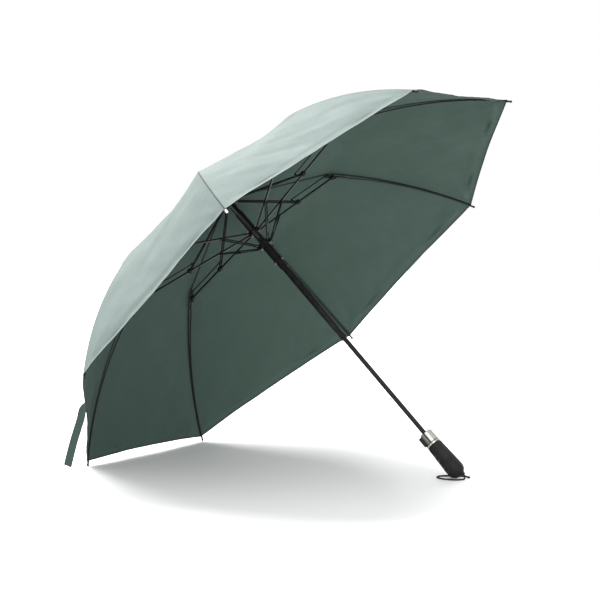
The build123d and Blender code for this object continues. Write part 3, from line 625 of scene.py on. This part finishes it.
def pull_at_tip(lift, panel, end, from_rib, to_hem):
    """Adds the pleats that fan out from a rib tip, and the crease above the hem."""
    place = panel * 2 + end
    away = np.hypot(from_rib, to_hem)
    fan = np.arctan2(to_hem, from_rib)
    near = np.exp(-away / TIP_PLEAT_REACH) * np.minimum(1, away / TIP_PLEAT_START)
    pleats = np.sin(TIP_PLEAT_COUNT * fan + TIP_PHASE[place])
    lift += TIP_PLEAT * TIP_PULL[place] * near * pleats
    fold = np.exp(-(((to_hem - FOLD_HEIGHT - FOLD_CLIMB * from_rib) / FOLD_WIDTH) ** 2))
    lift -= HEM_FOLDS[panel] * MM * fold * np.exp(-from_rib / FOLD_REACH)


def to_row(points):
    """Points in the frame from rows of umbrella coordinates."""
    axes = np.array([UPWARD, ACROSS, CROWNWARD])
    return np.array(ORIGIN) + points @ axes


NORMAL_STEP = 0.5 * MM
SMALLEST_RADIUS = 0.01


def sector_grid(rib, columns, rows):
    """Cloth from mid-gore to mid-gore over one rib, as points, normals and weave coordinates."""
    spread = np.concatenate([-columns[:0:-1], columns])
    halves = []
    for gore, across in ((rib - 1, 1 + spread[spread < 0]), (rib, spread[spread >= 0])):
        u, s = np.meshgrid(across, rows)
        point, side, seam = cloth_points(gore, u, s)
        du = NORMAL_STEP / np.maximum(np.interp(s, REACH, PROFILE[:, 0]), SMALLEST_RADIUS)
        one_side = cloth_points(gore, u + du, s)[0] - cloth_points(gore, u - du, s)[0]
        lower = cloth_points(gore, u, np.minimum(s + NORMAL_STEP, CLOTH_LENGTH))[0]
        upper = cloth_points(gore, u, np.maximum(s - NORMAL_STEP, 0))[0]
        normal = np.cross(lower - upper, one_side)
        normal /= np.linalg.norm(normal, axis=-1, keepdims=True)
        halves.append((point, normal, side, seam, s))
    return [np.concatenate([halves[0][part], halves[1][part]], axis=1) for part in range(5)]


HEM_THICKENING = 0.2 * MM            # on each face, where the hem is doubled
HEM_TURN = (8.2, 7.2)                # the doubled cloth starts between these, mm from the edge


def cloth_piece(name, rib, columns, rows, body):
    point, normal, side, seam, along = sector_grid(rib, columns, rows)
    to_hem = CLOTH_LENGTH - along
    turned = step_up(-to_hem, -HEM_TURN[0] * MM, -HEM_TURN[1] * MM)
    doubled = (HEM_THICKENING * turned)[..., None]
    inner = to_row((point - normal * doubled).reshape(-1, 3))
    outer = to_row((point + normal * (CLOTH_THICKNESS + doubled)).reshape(-1, 3))
    height, width = along.shape
    faces = slab_faces(height, width)
    made = mesh_object(name, np.concatenate([outer, inner]), faces, [OUTSIDE, INSIDE])
    outside_faces = (height - 1) * (width - 1)
    slots = [0] * outside_faces + [1] * (len(faces) - outside_faces)
    made.data.polygons.foreach_set("material_index", slots)
    weave = np.stack([side, along, to_hem], axis=-1).reshape(-1, 3)
    store(made, "cloth", "FLOAT_VECTOR", "vector", np.concatenate([weave, weave]))
    store(made, "seam", "FLOAT", "value", np.concatenate([seam.ravel()] * 2))
    facing = to_row(normal.reshape(-1, 3)) - np.array(ORIGIN)
    made.data.normals_split_custom_set_from_vertices(np.concatenate([facing, -facing]).tolist())
    made.data.update()
    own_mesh(made)
    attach(made, body)
    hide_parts("canopy")


# Grid lines: shares of a gore from its rib, finest at the seam, and metres from the crown.
COLUMNS = np.concatenate([[0, 0.003, 0.007, 0.013], np.linspace(0.026, 0.5, 27)])
INNER_ROWS = np.linspace(0, SPLIT, 34)
HEM_ROWS = CLOTH_LENGTH - np.array([*HEM_TURN, 4.0, 1.0, 0.0]) * MM
OUTER_ROWS = np.concatenate([np.linspace(SPLIT, CLOTH_LENGTH - 11 * MM, 50), HEM_ROWS])
for rib in RIBS:
    cloth_piece(f"canopy_inner_{rib}", rib, COLUMNS, INNER_ROWS, f"upper_arm_{rib}")
    cloth_piece(f"canopy_outer_{rib}", rib, COLUMNS, OUTER_ROWS, f"outer_rib_{rib}")

# ---------------------------------------------------------------- rib tips
TIP_RADIUS = 600                     # from the shaft to a rib's tip, mm
PALE_TIP = 7                         # the rib whose tip is pale nylon
TIP_PROFILE = [(-10.5, 0), (-10.5, 2.05), (-10.1, 2.25), (-4.5, 2.3), (-3.2, 2.15), (-2.2, 1.9),
               (-1.9, 2.1), (-1.2, 2.6), (0, 2.86), (1.2, 2.6), (2.2, 1.85), (2.75, 0.8),
               (2.86, 0)]
TIP_SEGMENTS = 24
RIB_END_SLOPE = SLOPE[-1] / np.linalg.norm(SLOPE[-1])
for rib in RIBS:
    angle = rib_angle(rib)
    outward = UPWARD * cos(angle) + ACROSS * sin(angle)
    direction = outward * RIB_END_SLOPE[0] + CROWNWARD * RIB_END_SLOPE[1]
    cap = lathe(f"rib_tip_{rib}", TIP_PROFILE, on_rib(rib, TIP_RADIUS, 0), direction,
                NYLON if rib == PALE_TIP else PLASTIC, TIP_SEGMENTS)
    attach(cap, f"outer_rib_{rib}")

# ---------------------------------------------------------------- joint bosses and hub studs
BOSS_PROFILE = [(-5.4, 0), (-5.4, 1.9), (-5.0, 2.4), (-3.9, 2.6), (-3.9, 4.9), (-3.4, 5.4),
                (-1.3, 5.5), (-0.9, 5.0), (0.9, 5.0), (1.3, 5.5), (3.4, 5.4), (3.9, 4.9),
                (3.9, 2.6), (5.0, 2.4), (5.4, 1.9), (5.4, 0)]
BOSS_SEGMENTS = 24
# Each boss: the bar that it rides, and its pivot's distance from the shaft and height, in mm.
BOSSES = {"stretcher_boss": ("main_stretcher", (163, 185)), "knee_boss": ("outer_rib", (300, 211))}
for rib in RIBS:
    for name, (bar, pivot) in BOSSES.items():
        boss = lathe(f"{name}_{rib}", BOSS_PROFILE, on_rib(rib, *pivot),
                     hinge_axis(f"crown_hinge_{rib}"), PLASTIC, BOSS_SEGMENTS)
        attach(boss, f"{bar}_{rib}")

STUD_PROFILE = [(-1.5, 0), (-1.5, 2.9), (2.2, 2.9), (3.6, 2.4), (4.4, 1.3), (4.6, 0)]
STUD_SEGMENTS = 20
STUD_ANGLES = (0, 5 * PITCH)
STUDS = {"upper_runner": (12.4, 161.5), "lower_runner": (15.2, 122.0)}
for hub, (radius, height) in STUDS.items():
    for number, angle in enumerate(STUD_ANGLES, start=1):
        place = placed(radius * MM * cos(angle), radius * MM * sin(angle), height * MM)
        stud = lathe(f"{hub}_stud_{number}", STUD_PROFILE, place, CROWNWARD, NYLON,
                     STUD_SEGMENTS)
        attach(stud, hub)

# ---------------------------------------------------------------- tie strap
STRAP_WIDTH = 16 * MM
STRAP_GORE = 5
STRAP_PLACE = 0.67                   # share of the gore, from its first rib
STRAP_BODY = 6                       # the rib that carries it
HEM_HEIGHT = 13 * MM                 # of the hem where the strap leaves it, above the rib tips
STRAP_OUTWARDS = Vector((-0.87, -0.49, 0)).normalized()
DOWN = Vector((0, 0, -1))
# The hanging part: (distance outwards, distance down) from the hem, in mm.
STRAP_HANGING = [(1.5, 16), (4.5, 30), (10, 48), (17, 70), (24, 95), (32, 127)]
STRAP_STEPS, STRAP_LANES = 90, 9
STRAP_END_FOLD = 13 * MM             # length of the folded end
STRAP_HALF = 0.35                    # half thickness, mm
STRAP_FOLD_EXTRA = 0.3               # more of it at the folded end
STRAP_RIDGE, STRAP_RIDGE_HALF = 0.12, 1.2 * MM            # the ridge where the fold is sewn
STRAP_SLANT, STRAP_SLANT_REACH = 1.2 * MM, 20 * MM        # how askew its end is cut


def strap_route():
    """Centre line from the cloth's outer face over the hem and down, with its width direction."""
    def on_cloth(back):
        point = cloth_points(STRAP_GORE, np.array([STRAP_PLACE]),
                             np.array([CLOTH_LENGTH - back]))[0]
        return Vector(to_row(point)[0])

    hem_line = [placed(CLOTH_HEM[0] * cos(rib_angle(rib)), CLOTH_HEM[0] * sin(rib_angle(rib)),
                       HEM_HEIGHT) for rib in (STRAP_GORE, STRAP_GORE + 1)]
    anchor = hem_line[1] + (hem_line[0] - hem_line[1]) * (1 - STRAP_PLACE)
    along_hem = (hem_line[0] - hem_line[1]).normalized()
    lip, up = on_cloth(0.0), on_cloth(24 * MM)
    face = (up - lip).cross(along_hem).normalized()
    if face.dot(lip - ORIGIN) < 0:
        face = -face
    route = [up + face * 1.2 * MM, on_cloth(10 * MM) + face * 1.3 * MM,
             lip + face * 1.6 * MM + DOWN * 2 * MM]
    route += [anchor + STRAP_OUTWARDS * side * MM + DOWN * drop * MM
              for side, drop in STRAP_HANGING]
    across = [along_hem, along_hem, along_hem.lerp(STRAP_OUTWARDS, 0.4),
              along_hem.lerp(STRAP_OUTWARDS, 0.85), *[STRAP_OUTWARDS] * 5]
    return route, [side.normalized() for side in across]


def smooth_line(points, count):
    """Points on one smooth curve through all the given ones."""
    points = [Vector(point) for point in points]
    ends = [points[0] * 2 - points[1], *points, points[-1] * 2 - points[-2]]
    line = []
    for share in np.linspace(0, len(points) - 1, count):
        part = min(int(share), len(points) - 2)
        t = share - part
        p0, p1, p2, p3 = ends[part:part + 4]
        line.append(0.5 * (2 * p1 + (p2 - p0) * t + (2 * p0 - 5 * p1 + 4 * p2 - p3) * t * t
                           + (3 * p1 - p0 - 3 * p2 + p3) * t ** 3))
    return line


def make_strap():
    route, across = strap_route()
    line, sides = smooth_line(route, STRAP_STEPS), smooth_line(across, STRAP_STEPS)
    lengths = [(after - before).length for before, after in zip(line, line[1:])]
    reach = np.concatenate([[0], np.cumsum(lengths)])
    total = float(reach[-1])
    sheets = [[], []]
    weave, seams = [], []
    for step, (centre, side) in enumerate(zip(line, sides)):
        ahead = line[min(step + 1, STRAP_STEPS - 1)] - line[max(step - 1, 0)]
        side = (side - ahead * side.dot(ahead) / ahead.length_squared).normalized()
        face = side.cross(ahead).normalized()
        to_end = total - reach[step]
        folded = to_end < STRAP_END_FOLD
        ridged = abs(to_end - STRAP_END_FOLD) < STRAP_RIDGE_HALF
        half_thick = (STRAP_HALF + STRAP_FOLD_EXTRA * folded + STRAP_RIDGE * ridged) * MM
        for lane in range(STRAP_LANES):
            share = lane / (STRAP_LANES - 1) * 2 - 1
            slant = ahead.normalized() * (
                -share * STRAP_SLANT * max(0.0, 1 - to_end / STRAP_SLANT_REACH))
            curl = face * (0.5 * MM * share * share + 0.25 * MM * sin(reach[step] * 95 + share))
            middle = centre + side * (share * STRAP_WIDTH / 2) + slant + curl
            rounding = 1 - 0.45 * abs(share) ** 8
            sheets[0].append(middle + face * half_thick * rounding)
            sheets[1].append(middle - face * half_thick * rounding)
            weave.append((share * STRAP_WIDTH / 2, reach[step], to_end))
            seams.append((1 - abs(share)) * STRAP_WIDTH / 2 + 1.3 * MM)
    made = mesh_object("tie_strap_band", sheets[0] + sheets[1],
                       slab_faces(STRAP_STEPS, STRAP_LANES, mirrored=True), [STRAP])
    store(made, "cloth", "FLOAT_VECTOR", "vector", np.array(weave * 2))
    store(made, "seam", "FLOAT", "value", np.array(seams * 2))
    turn_outwards(made)
    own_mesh(made)
    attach(made, f"outer_rib_{STRAP_BODY}")
    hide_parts("tie_strap")


make_strap()

# ---------------------------------------------------------------- floor and light
FLOOR_HALF = 9.0
floor = mesh_object("floor", [(x * FLOOR_HALF, y * FLOOR_HALF, 0)
                              for x, y in ((-1, -1), (1, -1), (1, 1), (-1, 1))],
                    [(0, 1, 2, 3)], [floor_finish("floor")], smooth=False)

world = bpy.data.worlds.new("studio")
world.use_nodes = True
world.node_tree.nodes["Background"].inputs["Color"].default_value = (1, 1, 1, 1)
world.node_tree.nodes["Background"].inputs["Strength"].default_value = 1.0
scene.world = world
scene.view_settings.view_transform = "Standard"


def add_light(name, data, place, direction):
    lamp = bpy.data.objects.new(name, data)
    lamp.location = place
    lamp.rotation_euler = Vector(direction).to_track_quat("-Z", "Y").to_euler()
    scene.collection.objects.link(lamp)


key_data = bpy.data.lights.new("key", "SUN")
key_data.angle = radians(60)
key_data.energy = 6.5
add_light("key", key_data, (0, 0, 0), (0.54, -0.45, -0.71))

FILL_PLACE, FILL_TARGET = Vector((2.6, -2.8, 2.0)), Vector((0, 0, 0.3))
fill_data = bpy.data.lights.new("fill", "AREA")
fill_data.shape = "DISK"
fill_data.size = 2.4
fill_data.energy = 75
add_light("fill", fill_data, FILL_PLACE, FILL_TARGET - FILL_PLACE)
